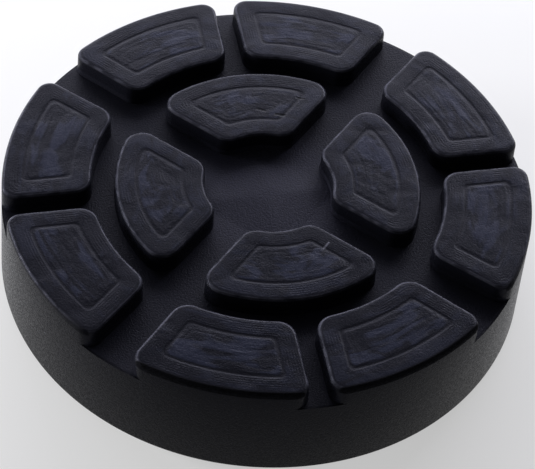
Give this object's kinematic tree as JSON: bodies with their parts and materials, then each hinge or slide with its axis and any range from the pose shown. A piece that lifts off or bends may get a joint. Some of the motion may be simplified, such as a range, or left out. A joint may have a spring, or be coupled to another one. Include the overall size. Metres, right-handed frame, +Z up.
{
  "type": "rubber pad",
  "caption": "Round solid rubber lift pad with a flat underside and a tread of rounded blocks, an outer ring around an inner ring, parted by radial slots and a ring channel.",
  "frame": {"origin": "centre of the flat underside", "axes": "+Z up along the pad's axis, out of its tread; +X and +Y through the middles of two inner blocks"},
  "size_m": [0.12, 0.12, 0.0255],
  "materials": {
    "rubber": "matte"
  },
  "bodies": {
    "root": {"rubber_pad": "rubber"}
  },
  "joints": []
}
